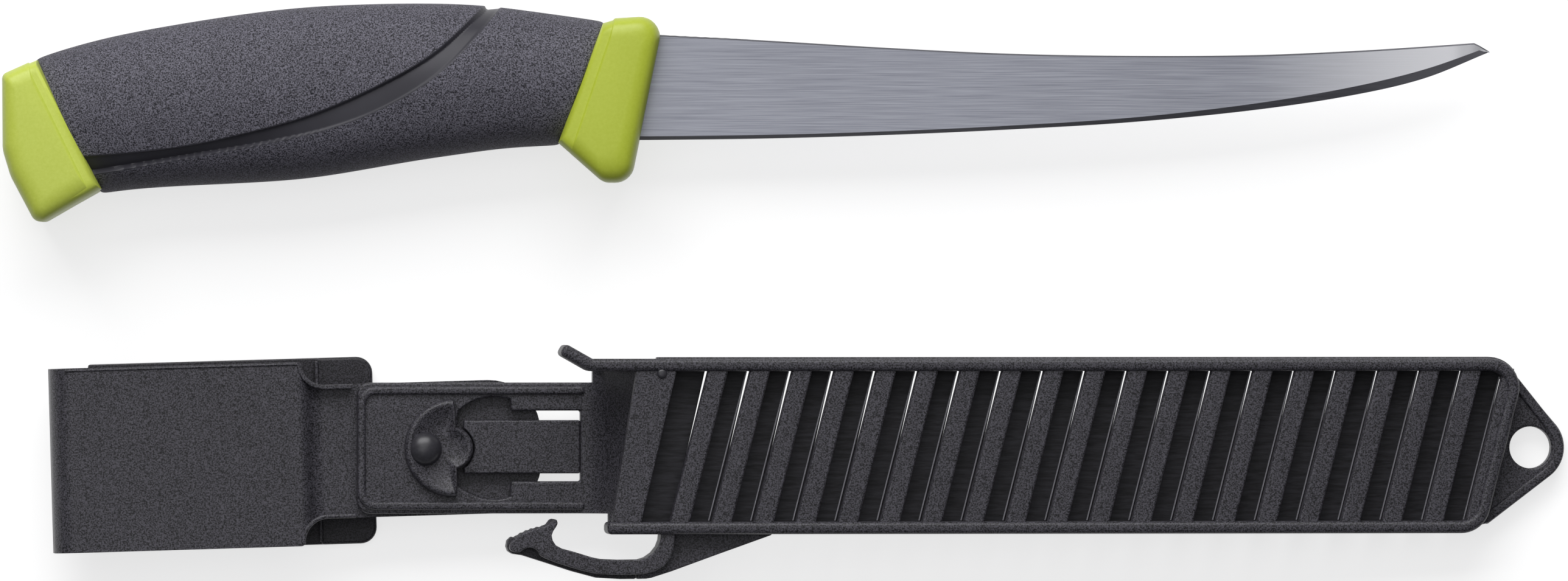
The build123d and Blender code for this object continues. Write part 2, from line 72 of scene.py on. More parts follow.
def start(name, add, **settings):
    # a new piece from one of Blender's own shapes
    deselect()
    add(**settings)
    piece = bpy.context.object
    piece.name = name
    return piece


def edit():
    bpy.ops.object.mode_set(mode="EDIT")
    bpy.ops.mesh.select_mode(type="VERT")
    bpy.ops.mesh.select_all(action="SELECT")


def leave():
    bpy.ops.object.mode_set(mode="OBJECT")


def pick(piece, test):
    # select the points of the piece that pass a test on their place
    bpy.ops.mesh.select_all(action="DESELECT")
    leave()
    for point in piece.data.vertices:
        point.select = bool(test(point.co))
    bpy.ops.object.mode_set(mode="EDIT")


def shift(x, y, z):
    bpy.ops.transform.translate(value=(x, y, z))


def pull(x, y, z):
    bpy.ops.mesh.extrude_region_move(TRANSFORM_OT_translate={"value": (x, y, z)})


def turn(degrees, centre):
    # with no window the turn runs the other way
    bpy.ops.transform.rotate(value=-math.radians(degrees), orient_axis="Z", center_override=centre)


def closeUp():
    # merge doubles and turn all faces outwards
    bpy.ops.mesh.select_all(action="SELECT")
    bpy.ops.mesh.remove_doubles(threshold=0.002)
    bpy.ops.mesh.normals_make_consistent(inside=False)
    leave()


def applyAll(piece):
    bpy.context.view_layer.objects.active = piece
    for modifier in list(piece.modifiers):
        bpy.ops.object.modifier_apply(modifier=modifier.name)


def soften(piece, width, segments=3, angle=35):
    # moulded edges: rounded wherever the surface turns by more than the angle
    bevel = piece.modifiers.new("edge", "BEVEL")
    bevel.width = width
    bevel.segments = segments
    bevel.limit_method = "ANGLE"
    bevel.angle_limit = math.radians(angle)
    applyAll(piece)


def carve(piece, cutter, operation="DIFFERENCE"):
    cut = piece.modifiers.new("cut", "BOOLEAN")
    cut.operation = operation
    cut.solver = "EXACT"
    cut.object = cutter
    applyAll(piece)
    bpy.data.objects.remove(cutter)


def cutAway(piece, place, direction):
    # take off what lies beyond a plane and close the cut
    only(piece)
    edit()
    bpy.ops.mesh.bisect(plane_co=place, plane_no=direction, use_fill=True, clear_outer=True)
    closeUp()


def paint(material, *pieces):
    for piece in pieces:
        piece.data.materials.append(material)


def finish(piece, place, body, material, slot, *replaced, smooth=40, flat=True):
    # into the shared frame, onto its body, in its finish
    only(piece)
    piece.matrix_world = place
    bpy.ops.object.transform_apply()
    bpy.ops.object.shade_smooth_by_angle(angle=math.radians(smooth))
    if flat:
        # broad faces keep a flat look beside their rounded edges
        weighted = piece.modifiers.new("weighted", "WEIGHTED_NORMAL")
        weighted.keep_sharp = True
        applyAll(piece)
    if not piece.data.materials:
        paint(material, piece)
    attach(piece, body)
    if replaced:
        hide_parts(*replaced)


def finishSheath(pieces, *replaced, place=sheathPlace, body="sheath", material=None, flat=True):
    # a moulding from its pieces; most of the sheath is the same black plastic
    finish(joined(pieces), place, body, material or blackPlastic, "sheath_plastic", *replaced, flat=flat)


def layers(name, points, steps, centre=(0, 0)):
    # draw an outline point by point, fill it and pull it up step by step.
    # Each step is its level and how far it is drawn in towards the centre.
    reachX = max(abs(x - centre[0]) for x, y in points)
    reachY = max(abs(y - centre[1]) for x, y in points)
    piece = start(name, bpy.ops.mesh.primitive_plane_add, size=1)
    edit()
    bpy.ops.mesh.merge(type="CENTER")
    level, shareX, shareY = steps[0][0], 1, 1
    shift(points[0][0], points[0][1], level)
    for before, after in zip(points, points[1:]):
        pull(after[0] - before[0], after[1] - before[1], 0)
    bpy.ops.mesh.select_all(action="SELECT")
    bpy.ops.mesh.edge_face_add()
    for index, (newLevel, inset) in enumerate(steps):
        if index:
            pull(0, 0, newLevel - level)
        newX, newY = 1 - inset / reachX, 1 - inset / reachY
        if (newX, newY) != (shareX, shareY):
            bpy.ops.transform.resize(value=(newX / shareX, newY / shareY, 1), center_override=(*centre, newLevel))
        level, shareX, shareY = newLevel, newX, newY
    closeUp()
    return piece


def stand(piece):
    # a side view drawn flat is stood up
    only(piece)
    piece.matrix_world = Matrix.Rotation(math.radians(90), 4, "X")
    bpy.ops.object.transform_apply()


def trace(name, points, level, height):
    # an outline with a plain thickness
    return layers(name, points, [(level, 0), (level + height, 0)])


def rounded(corners, steps=6):
    # an outline from corners given as x, y and radius
    points = []
    for index, (x, y, radius) in enumerate(corners):
        here = Vector((x, y))
        before = (Vector(corners[index - 1][:2]) - here).normalized()
        after = (Vector(corners[(index + 1) % len(corners)][:2]) - here).normalized()
        if not radius:
            points.append((x, y))
            continue
        half = before.angle(after) / 2
        centre = here + (before + after).normalized() * radius / math.sin(half)
        start = here + before * radius / math.tan(half) - centre
        end = here + after * radius / math.tan(half) - centre
        first = math.degrees(math.atan2(start.y, start.x))
        turned = (math.degrees(math.atan2(end.y, end.x)) - first + 180) % 360 - 180
        points += arc(centre, radius, first, first + turned, steps)
    return points


def arc(centre, radius, start, end, steps):
    # points of an arc, in degrees
    points = []
    for step in range(steps + 1):
        angle = math.radians(start + (end - start) * step / steps)
        points.append((centre[0] + radius * math.cos(angle), centre[1] + radius * math.sin(angle)))
    return points


def circle(centre, radius, count):
    return arc(centre, radius, 0, 360 - 360 / count, count - 1)


def sweep(name, width, depth, level, path, radii, steps=6):
    # pull a rectangle along a path, spinning it round the corners
    legs = [Vector(after) - Vector(before) for before, after in zip(path, path[1:])]
    heading = math.atan2(legs[0].y, legs[0].x)
    piece = start(name, bpy.ops.mesh.primitive_plane_add, size=1, rotation=(math.pi / 2, 0, heading + math.pi / 2))
    piece.location = (*path[0], level)
    piece.scale = (width, depth, 1)
    bpy.ops.object.transform_apply()
    edit()
    bpy.ops.mesh.select_mode(type="FACE")
    used = 0
    for index, leg in enumerate(legs):
        direction = leg.normalized()
        if index == len(radii):
            run = direction * (leg.length - used)
            pull(run.x, run.y, 0)
            break
        after = legs[index + 1].normalized()
        angle = math.atan2(direction.x * after.y - direction.y * after.x, direction.dot(after))
        trim = radii[index] * math.tan(abs(angle) / 2)
        run = direction * (leg.length - used - trim)
        pull(run.x, run.y, 0)
        side = math.copysign(1, angle)
        corner = Vector(path[index + 1])
        inner = corner - direction * trim + Vector((-direction.y, direction.x)) * radii[index] * side
        bpy.ops.mesh.spin(steps=steps, angle=-angle, center=(inner.x, inner.y, 0), axis=(0, 0, 1))
        used = trim
    closeUp()
    return piece


def rings(name, stations, corners=16, squareness=1.05):
    # a tube: one ring of points, pulled from station to station.
    # Each station is the top point and the bottom point of its ring, and its thickness.
    loose = (4 + 2 * math.cos(2 * math.pi / corners)) / 6  # how much subdivision draws a ring in

    def measure(station):
        top, bottom = Vector(station[0:2]), Vector(station[2:4])
        rise = top - bottom
        return (top + bottom) / 2, rise.length / loose, station[4] / loose, math.atan2(rise.y, rise.x)

    middle, height, thickness, lean = measure(stations[0])
    tube = start(name, bpy.ops.mesh.primitive_circle_add, vertices=corners, radius=0.5, rotation=(math.pi / 2, 0, 0))
    tube.scale = (height, thickness, 1)
    bpy.ops.object.transform_apply()
    edit()
    pick(tube, lambda place: abs(place.x) > 0.2 * height and abs(place.z) > 0.2 * thickness)
    bpy.ops.transform.resize(value=(squareness, 1, squareness), center_override=(0, 0, 0))
    bpy.ops.mesh.select_all(action="SELECT")
    turn(math.degrees(lean), (0, 0, 0))
    shift(middle.x, middle.y, 0)
    for station in stations[1:]:
        newMiddle, newHeight, newThickness, newLean = measure(station)
        step = newMiddle - middle
        pull(step.x, step.y, 0)
        centre = (newMiddle.x, newMiddle.y, 0)
        bpy.ops.transform.resize(
            value=(newHeight / height, newHeight / height, newThickness / thickness), center_override=centre)
        turn(math.degrees(newLean - lean), centre)
        middle, height, thickness, lean = newMiddle, newHeight, newThickness, newLean
    leave()
    return tube


def subdivide(piece, levels):
    smooth = piece.modifiers.new("smooth", "SUBSURF")
    smooth.levels = levels
    applyAll(piece)


def capEnds(piece):
    # close the open ends of a tube with flat faces
    edit()
    bpy.ops.mesh.select_all(action="DESELECT")
    bpy.ops.mesh.select_non_manifold()
    bpy.ops.mesh.edge_face_add()
    closeUp()


def repeat(strip, count, pitch):
    # the strip and its copies beside it, each with its own mesh
    copies = [strip]
    for index in range(1, count):
        copy = strip.copy()
        copy.data = strip.data.copy()
        copy.data.transform(Matrix.Translation((index * pitch, 0, 0)))
        bpy.context.scene.collection.objects.link(copy)
        copies.append(copy)
    return copies


def joined(pieces):
    # all of them as one piece, under the name of the first
    deselect()
    for piece in pieces:
        piece.select_set(True)
    bpy.context.view_layer.objects.active = pieces[0]
    if len(pieces) > 1:
        bpy.ops.object.join()
    return pieces[0]


# Materials

def srgb(red, green, blue):
    # a colour as it is read off a screen, 0 to 255, made linear
    def linear(value):
        share = value / 255
        return share / 12.92 if share <= 0.04045 else ((share + 0.055) / 1.055) ** 2.4
    return (linear(red), linear(green), linear(blue), 1)


def newMaterial(name):
    # with its node tree and its shader
    material = bpy.data.materials.new(name)
    material.use_nodes = True
    return material, material.node_tree, material.node_tree.nodes["Principled BSDF"]


def feed(node, inputs):
    # each input takes a value, or what another node gives
    for name, value in inputs.items():
        if isinstance(value, bpy.types.NodeSocket):
            node.id_data.links.new(value, node.inputs[name])
        else:
            node.inputs[name].default_value = value


def addNode(tree, kind, inputs):
    node = tree.nodes.new("ShaderNode" + kind)
    feed(node, inputs)
    return node


def objectNoise(tree, scale, detail=3, stretch=(1, 1, 1), roughness=0.55):
    coord = addNode(tree, "TexCoord", {})
    mapping = addNode(tree, "Mapping", {"Vector": coord.outputs["Object"], "Scale": stretch})
    return addNode(tree, "TexNoise", {
        "Vector": mapping.outputs["Vector"], "Scale": scale, "Detail": detail, "Roughness": roughness,
    }).outputs["Fac"]


def colourRamp(tree, source, dark, light, contrast):
    # the two colours as they are read off a screen
    ramp = addNode(tree, "ValToRGB", {"Fac": source})
    for element, position, colour in zip(ramp.color_ramp.elements, (0.5 - contrast, 0.5 + contrast), (dark, light)):
        element.position = position
        element.color = srgb(*colour)
    return ramp.outputs["Color"]


def mixColours(tree, factor, first, second, blend="MIX"):
    mix = tree.nodes.new("ShaderNodeMix")
    mix.data_type = "RGBA"
    mix.blend_type = blend
    feed(mix, {"Factor": factor, "A": first, "B": second})
    return mix.outputs["Result"]


def mathNode(tree, operation, *values):
    node = addNode(tree, "Math", dict(enumerate(values)))
    node.operation = operation
    return node.outputs[0]


def spread(tree, source, low, high):
    # 0 to 1 made low to high
    return addNode(tree, "MapRange", {"Value": source, "To Min": low, "To Max": high}).outputs["Result"]


def relief(tree, height, look):
    # fine unevenness in the surface
    bump = addNode(tree, "Bump", {"Height": height, "Strength": look["bump"], "Distance": look["bumpDepth"] * mm})
    return bump.outputs["Normal"]


def grainMaterial(name, look):
    # moulded plastic or rubber: speckled colour, fine grain in the surface, slow stains
    material, tree, shader = newMaterial(name)
    grain = objectNoise(tree, look["grainScale"], stretch=look.get("stretch", (1, 1, 1)), roughness=0.7)
    slow = objectNoise(tree, look["slowScale"])
    colour = colourRamp(tree, grain, look["dark"], look["light"], look["contrast"])
    colour = mixColours(tree, look["stain"], colour, slow, "MULTIPLY")
    height, roughness = grain, look["roughness"]
    if "smoothDark" in look:
        # where the attribute says so, the surface is smooth and plain
        attribute = tree.nodes.new("ShaderNodeAttribute")
        attribute.attribute_name = "smoothBand"
        mask = attribute.outputs["Fac"]
        plain = colourRamp(tree, slow, look["smoothDark"], look["smoothLight"], look["smoothContrast"])
        colour = mixColours(tree, mask, colour, plain)
        height = mathNode(tree, "MULTIPLY", grain, mathNode(tree, "MULTIPLY_ADD", mask, -look["smoothed"], 1))
        roughness = spread(tree, mask, roughness, look["smoothRoughness"])
    feed(shader, {"Base Color": colour, "Roughness": roughness, "Specular IOR Level": look["specular"],
                  "Normal": relief(tree, height, look)})
    return material


def steelMaterial(name, look):
    # brushed along the blade
    material, tree, shader = newMaterial(name)
    lines = objectNoise(tree, look["lineScale"], 4, stretch=(0.012, 1, 1))
    slow = objectNoise(tree, look["slowScale"], 2, stretch=(0.4, 1, 1))
    colour = colourRamp(tree, lines, look["dark"], look["light"], look["contrast"])
    colour = mixColours(tree, look["stain"], colour, slow, "MULTIPLY")
    # the tip of the blade is bent a little and catches more light: a painted sheen, mixed into the colour towards the
    # tip
    coord = addNode(tree, "TexCoord", {})
    parts = addNode(tree, "SeparateXYZ", {0: coord.outputs["Object"]})
    sheenTowardsTip = addNode(tree, "MapRange", {
        "Value": parts.outputs["X"], "From Min": look["sheenFrom"] * mm, "From Max": look["sheenTo"] * mm})
    sheenTowardsTip.interpolation_type = "SMOOTHSTEP"
    colour = mixColours(tree, sheenTowardsTip.outputs["Result"], colour, srgb(*look["tipSheen"]))
    feed(shader, {"Base Color": colour, "Metallic": look["metallic"], "Normal": relief(tree, lines, look),
                  "Roughness": spread(tree, lines, look["smoothest"], look["roughest"])})
    return material


limeLook = {
    "dark": (188, 203, 56), "light": (199, 213, 74), "contrast": 0.3, "stain": 0.1, "slowScale": 60,
    "roughness": 0.4, "specular": 0.5, "grainScale": 1600, "bump": 0.08, "bumpDepth": 0.03,
}
lime = grainMaterial("limeSatin", limeLook)
# a lighter copy of the lime for the butt: painted light, for the light that falls more on the butt than on the guard
litLime = grainMaterial("limeSatinPaintedLight", dict(
    limeLook, dark=(204, 219, 78), light=(216, 230, 100), stain=0.12, slowScale=45, specular=0.55))
rubber = grainMaterial("sandRubber", {
    "dark": (28, 27, 33), "light": (126, 124, 136), "contrast": 0.09, "stain": 0.25, "slowScale": 80,
    "roughness": 0.65, "specular": 0.25, "grainScale": 3900, "bump": 0.8, "bumpDepth": 0.07,
    "smoothDark": (48, 47, 53), "smoothLight": (66, 65, 72), "smoothContrast": 0.3, "smoothed": 0.85,
    "smoothRoughness": 0.38,
})
plasticLook = {
    "dark": (10, 9, 12), "light": (90, 88, 96), "contrast": 0.09, "stain": 0.2, "slowScale": 90,
    "roughness": 0.44, "specular": 0.42, "grainScale": 3600, "bump": 0.7, "bumpDepth": 0.06,
}
blackPlastic = grainMaterial("grainPlastic", plasticLook)
# a darker copy of the black plastic: painted shade for parts that lie in shade, the clip's rear leg and the arm's
# flange
shadePlastic = grainMaterial("paintedShadePlastic", dict(plasticLook, light=(66, 64, 71), specular=0.36))
plainLook = {
    "dark": (46, 45, 50), "light": (58, 57, 63), "contrast": 0.2, "stain": 0.1, "slowScale": 60,
    "roughness": 0.35, "specular": 0.6, "grainScale": 2000, "bump": 0.05, "bumpDepth": 0.03,
}
plainPlastic = grainMaterial("plainPlastic", plainLook)
darkPlastic = grainMaterial("scratchedPlastic", {
    "dark": (22, 21, 25), "light": (52, 51, 57), "contrast": 0.16, "stain": 0.3, "slowScale": 90,
    "roughness": 0.5, "specular": 0.35, "grainScale": 1700, "stretch": (0.06, 1, 1), "bump": 0.25, "bumpDepth": 0.05,
})
# pale grey for the fine raised line beside each slit: a painted highlight
paintedHighlightPlastic = grainMaterial("paintedHighlightPlastic", dict(
    plainLook, dark=(142, 141, 148), light=(166, 165, 172), stain=0.2, roughness=0.4, specular=0.5, grainScale=2600,
    bump=0.1))
steelLook = {
    "dark": (130, 132, 143), "light": (186, 188, 198), "contrast": 0.28, "stain": 0.25, "slowScale": 30,
    "lineScale": 6000, "smoothest": 0.26, "roughest": 0.42, "bump": 0.3, "bumpDepth": 0.01,
    # the colour and the stretch, in mm along the blade, of the painted sheen towards the tip
    "metallic": 1, "tipSheen": (228, 228, 232), "sheenFrom": 80, "sheenTo": 128,
}
steel = steelMaterial("brushedSteel", steelLook)
bevelSteel = steelMaterial("bevelSteel", dict(
    steelLook, dark=(84, 84, 90), light=(108, 108, 115), lineScale=3000, smoothest=0.42, roughest=0.58, bump=0.2,
    # a fainter painted sheen towards the tip on the bevel
    metallic=0.35, tipSheen=(118, 118, 124), sheenFrom=100, sheenTo=130))
print("materials ready")


# Camera, light, floor

view = {
    "pixelsPerMm": 8.9, "width": 2576, "distance": 3000, "height": 12, "centre": (-0.34, 0.06), "sensor": 36,
    "sky": (0.93, 0.95, 1.0, 1), "skyStrength": 0.13,
}
cameraData = bpy.data.cameras.new("camera")
cameraData.sensor_width = view["sensor"]
cameraData.lens = view["sensor"] * (view["distance"] - view["height"]) / (view["width"] / view["pixelsPerMm"])
camera = bpy.data.objects.new("camera", cameraData)
camera.location = (view["centre"][0] * mm, view["centre"][1] * mm, view["distance"] * mm)
bpy.context.scene.collection.objects.link(camera)
bpy.context.scene.camera = camera

lamps = [
    # name, place in metres, width, depth, watts
    ("keyLamp", (-0.15, 0.95, 0.8), 1.3, 0.8, 14.5),
    ("overLamp", (-0.15, 0.15, 1.3), 1.2, 0.8, 3),
]
for name, place, width, depth, watts in lamps:
    lampData = bpy.data.lights.new(name, "AREA")
    lampData.shape = "RECTANGLE"
    lampData.size = width
    lampData.size_y = depth
    lampData.energy = watts
    lamp = bpy.data.objects.new(name, lampData)
    lamp.location = place
    lamp.rotation_euler = (-Vector(place)).to_track_quat("-Z", "Y").to_euler()
    bpy.context.scene.collection.objects.link(lamp)

world = bpy.data.worlds.new("studio")
world.use_nodes = True
feed(world.node_tree.nodes["Background"], {"Color": view["sky"], "Strength": view["skyStrength"]})
bpy.context.scene.world = world
bpy.context.scene.view_settings.view_transform = "Standard"

# white where the camera looks at it, with its shadows; it throws little light back up, like a studio's open floor
floorLook = {"size": 12, "level": -0.0002, "roughness": 0.9, "unseen": 0.2, "seen": 0.5, "glow": 0.7}
floor = start("floor", bpy.ops.mesh.primitive_plane_add, size=floorLook["size"], location=(0, 0, floorLook["level"]))
floorMaterial, tree, shader = newMaterial("paleFloor")
path = tree.nodes.new("ShaderNodeLightPath")
shown = path.outputs["Is Camera Ray"]
for ray in ("Is Glossy Ray", "Is Transmission Ray"):
    # metal and clear pieces show the same floor as the camera
    shown = mathNode(tree, "MAXIMUM", shown, path.outputs[ray])
feed(shader, {
    "Base Color": spread(tree, shown, floorLook["unseen"], floorLook["seen"]), "Roughness": floorLook["roughness"],
    "Emission Color": (1, 1, 1, 1), "Emission Strength": mathNode(tree, "MULTIPLY", shown, floorLook["glow"]),
})
paint(floorMaterial, floor)
print("camera, light and floor ready")


# Grip: a soft tube with the smooth groove that runs in an S over both sides

gripForm = {
    "stations": [
        (-113.75, 4.5, -102.1, -18.8, 18.6), (-113.6, 5.0, -101.8, -19.3, 19.7),
        (-113.1, 5.5, -101.2, -19.6, 20.5), (-108.0, 7.2, -97.5, -19.0, 20.9), (-99.5, 9.5, -90.5, -18.4, 21.3),
        (-88.5, 11.5, -82.0, -18.0, 21.6), (-76.0, 13.5, -73.0, -17.6, 21.9), (-64.0, 14.9, -63.0, -16.9, 22.0),
        (-52.0, 15.4, -53.0, -15.2, 21.8), (-41.0, 15.55, -43.5, -13.5, 21.1), (-31.0, 15.2, -35.0, -12.3, 20.4),
        (-22.0, 14.0, -28.0, -11.3, 19.9), (-14.0, 12.9, -21.5, -10.9, 20.0), (-9.5, 12.25, -17.6, -10.75, 20.2),
        (-8.95, 11.9, -17.0, -10.4, 19.4), (-8.8, 11.3, -16.8, -9.8, 18.2),
    ],
    "levels": 4,
    "flatness": 11.15,
    "grooveDepth": 0.75,
    "shallow": 0.25,
    "deeper": 0.5,
    "turn": (-52, -84),  # where the groove's deep side changes from its upper to its lower edge
    "upper": [(-29.5, 17.0), (-31.7, 14.2), (-39.7, 6.5), (-49.4, 0.6), (-62.3, -5.1), (-75.1, -8.7),
              (-88.1, -11.3), (-104.9, -12.9), (-116.0, -13.3)],
    "lower": [(-26.5, 17.0), (-28.1, 14.6), (-32.0, 9.7), (-39.7, 2.0), (-49.4, -3.9), (-59.2, -7.7),
              (-70.0, -10.3), (-81.7, -12.5), (-101.0, -15.9), (-113.0, -17.9)],
    "wallUpper": 0.4,
    "wallLower": 0.3,
    "finer": 1.2,  # the mesh is finer this near to the groove's edges
    "maskBeyond": 0.15,
}


def readPoints(piece, what):
    # all the places or normals of a piece as rows of three
    values = np.zeros(len(piece.data.vertices) * 3)
    piece.data.vertices.foreach_get(what, values)
    return values.reshape(-1, 3)


def curvePoints(points, steps=12):
    # a smooth line through the points
    result = []
    padded = [points[0]] + points + [points[-1]]
    for index in range(1, len(padded) - 2):
        before, start, end, after = (np.array(padded[index + offset]) for offset in (-1, 0, 1, 2))
        for step in range(steps):
            t = step / steps
            result.append(0.5 * (2 * start + (end - before) * t + (2 * before - 5 * start + 4 * end - after) * t ** 2
                                 + (3 * start - before - 3 * end + after) * t ** 3))
    result.append(np.array(points[-1]))
    return np.array(result)


def signedDistance(places, line):
    # how far places are from a line, positive on its left-hand side
    best = np.full(len(places), 1e9)
    sign = np.ones(len(places))
    for start, end in zip(line, line[1:]):
        run = end - start
        share = np.clip(((places - start) @ run) / (run @ run), 0, 1)
        nearest = start + share[:, None] * run
        away = places - nearest
        distance = np.hypot(away[:, 0], away[:, 1])
        cross = run[0] * away[:, 1] - run[1] * away[:, 0]
        closer = distance < best
        best[closer] = distance[closer]
        sign[closer] = np.sign(cross[closer])
    return best * sign


def bandShare(places, form):
    # how deep the groove is at each place, 0 outside it, and how far inside its two edges each place is
    below = signedDistance(places, curvePoints(form["upper"]))   # the line runs from right to left
    above = -signedDistance(places, curvePoints(form["lower"]))
    inner = np.clip(below / form["wallUpper"], 0, 1) * np.clip(above / form["wallLower"], 0, 1)
    across = np.clip(above / np.maximum(above + below, 0.01), 0, 1)
    turned = np.clip((places[:, 0] - form["turn"][0]) / (form["turn"][1] - form["turn"][0]), 0, 1)
    across = across * (1 - turned) + (1 - across) * turned
    depth = (form["shallow"] + (1 - form["shallow"]) * across) * (1 + form["deeper"] * turned)
    return inner * inner * (3 - 2 * inner) * depth, below, above


grip = rings("grip", gripForm["stations"])
subdivide(grip, gripForm["levels"])
share, below, above = bandShare(readPoints(grip, "co")[:, :2], gripForm)
near = iter(np.minimum(np.abs(below), np.abs(above)) < gripForm["finer"])
edit()
pick(grip, lambda place: next(near))  # one answer for each point, in their order
bpy.ops.mesh.subdivide(number_cuts=1, smoothness=0)
leave()
capEnds(grip)
coords, normals = readPoints(grip, "co"), readPoints(grip, "normal")
normals[:, 0] = 0
share, below, above = bandShare(coords[:, :2], gripForm)
coords -= normals * (share * gripForm["grooveDepth"])[:, None]
coords[:, 2] = np.clip(coords[:, 2], -gripForm["flatness"], gripForm["flatness"])
grip.data.vertices.foreach_set("co", coords.ravel())
mask = grip.data.attributes.new("smoothBand", "FLOAT", "POINT")
mask.data.foreach_set("value", np.where(np.minimum(below, above) > -gripForm["maskBeyond"], 1.0, 0.0))
grip.data.update()
finish(grip, knifePlace, "knife", rubber, "grip_rubber", "grip", smooth=40, flat=False)
print("grip ready", len(grip.data.polygons))


# Butt and guard: the lime ends of the handle's core

limeForms = {
    # place of the upper end of the seam with the grip, lean of the seam, corners of the raised block, the
    # corners that carry the form on to the seam, and where both are drawn in to
    "butt": {
        # the butt takes the lighter copy of the lime, painted light
        "seam": (-113.95, 4.87), "lean": 26.7, "finish": litLime,
        "block": [(-114.7, 4.53, 0.3), (-119.68, 2.29, 1.3), (-119.57, -11.64, 7), (-118.11, -16.48, 9),
                  (-113.28, -25.6, 1.9), (-102.9, -19.6, 0.3)],
        "upperEnd": [(-113.25, 5.0, 0)], "lowerEnd": [(-101.35, -18.9, 0)], "centre": (-3.4, -12.0),
    },
    "guard": {
        "seam": (-8.56, 11.95), "lean": -19.8, "finish": lime,
        "block": [(-7.0, 12.62, 0.6), (2.32, 13.19, 3.6), (-3.95, -17.6, 3.6), (-9.0, -17.6, 3),
                  (-15.3, -12.05, 0.6)],
        "upperEnd": [(-9.0, 11.8, 0), (-6.3, 12.6, 1.5)], "lowerEnd": [(-17.3, -10.4, 0)], "centre": (3.4, -12.0),
    },
}
blockProfile = [(7.2, 0), (8.2, 0.1), (9.1, 0.35), (9.8, 0.75), (10.3, 1.25), (10.65, 1.85), (10.9, 2.6), (11.08, 3.4),
                (11.18, 4.3)]
baseProfile = [(7.2, 0.1), (8.2, 0.2), (9.1, 0.46), (9.75, 0.83), (10.28, 1.32), (10.6, 1.95), (10.74, 2.8)]
for name, form in limeForms.items():
    turnBack = Matrix.Rotation(math.radians(-form["lean"]), 4, "Z")
    parts = []
    base = form["upperEnd"] + form["block"][1:-1] + form["lowerEnd"]
    for corners, profile in ((form["block"], blockProfile), (base, baseProfile)):
        points = [turnBack @ Vector((x - form["seam"][0], y - form["seam"][1], 0)) for x, y in rounded(corners, 8)]
        steps = [(-level, inset) for level, inset in reversed(profile)] + profile
        parts.append(layers(name, [(point.x, point.y) for point in points], steps, form["centre"]))
    place = (knifePlace @ Matrix.Translation((*form["seam"], 0))
             @ Matrix.Rotation(math.radians(form["lean"]), 4, "Z"))
    finish(joined(parts), place, "knife", form["finish"], "lime_plastic", "handle_core", smooth=60, flat=False)
print("butt and guard ready")


# Blade: a fine grid wrapped round spine, flank and bevel, then mirrored to the other side

bladeForm = {
    "length": 154.6, "height": 19.4, "thickness": 1.7, "edge": 0.15, "columns": 170, "rows": 8,
    # along, spine, edge, bevel, thickness: shares of length, height (three) and thickness
    "shares": [
        (-0.033, 0.502, -0.502, 0.034, 1.00), (0.000, 0.502, -0.502, 0.034, 1.00), (0.137, 0.445, -0.488, 0.034, 0.98),
        (0.283, 0.375, -0.454, 0.034, 0.95), (0.428, 0.320, -0.402, 0.036, 0.91), (0.573, 0.300, -0.332, 0.042, 0.86),
        (0.719, 0.307, -0.217, 0.060, 0.80), (0.835, 0.345, -0.078, 0.078, 0.75), (0.922, 0.388, 0.084, 0.084, 0.70),
        (1.000, 0.432, 0.335, 0.050, 0.65),
    ],
    "clip": [(0.983, 0.421), (1.000, 0.340)],
    "spineRound": 0.3, "step": 0.02, "thinBelow": 4, "thinnest": 0.35,
    "flankRows": (0.6, 0.3), "grind": (0.25, 0.05), "edgeRise": 0.03,
    "dents": (3, 18), "dentDepth": 0.05, "dentWaves": (5.1, 1.9, 0.6),
    "flat": 0.9, "lowerFlat": 0.995,  # faces that lie less flat than this belong to the bevel
}


def bladeSection(along, form):
    # spine, edge, bevel and half thickness at a share of the length, smoothly between stations
    table = np.array(form["shares"])
    index = int(np.clip(np.searchsorted(table[:, 0], along) - 1, 0, len(table) - 2))
    start, end = table[index], table[index + 1]
    before, after = table[max(index - 1, 0)], table[min(index + 2, len(table) - 1)]
    width = end[0] - start[0]
    t = (along - start[0]) / width
    slopeStart = (end - before) / max(end[0] - before[0], 1e-6) * width
    slopeEnd = (after - start) / max(after[0] - start[0], 1e-6) * width
    value = ((2 * t ** 3 - 3 * t ** 2 + 1) * start + (t ** 3 - 2 * t ** 2 + t) * slopeStart
             + (-2 * t ** 3 + 3 * t ** 2) * end + (t ** 3 - t ** 2) * slopeEnd)
    spine, edgeLine, bevelHeight = value[1:4] * form["height"]
    return spine, edgeLine, bevelHeight, value[4] * form["thickness"] / 2


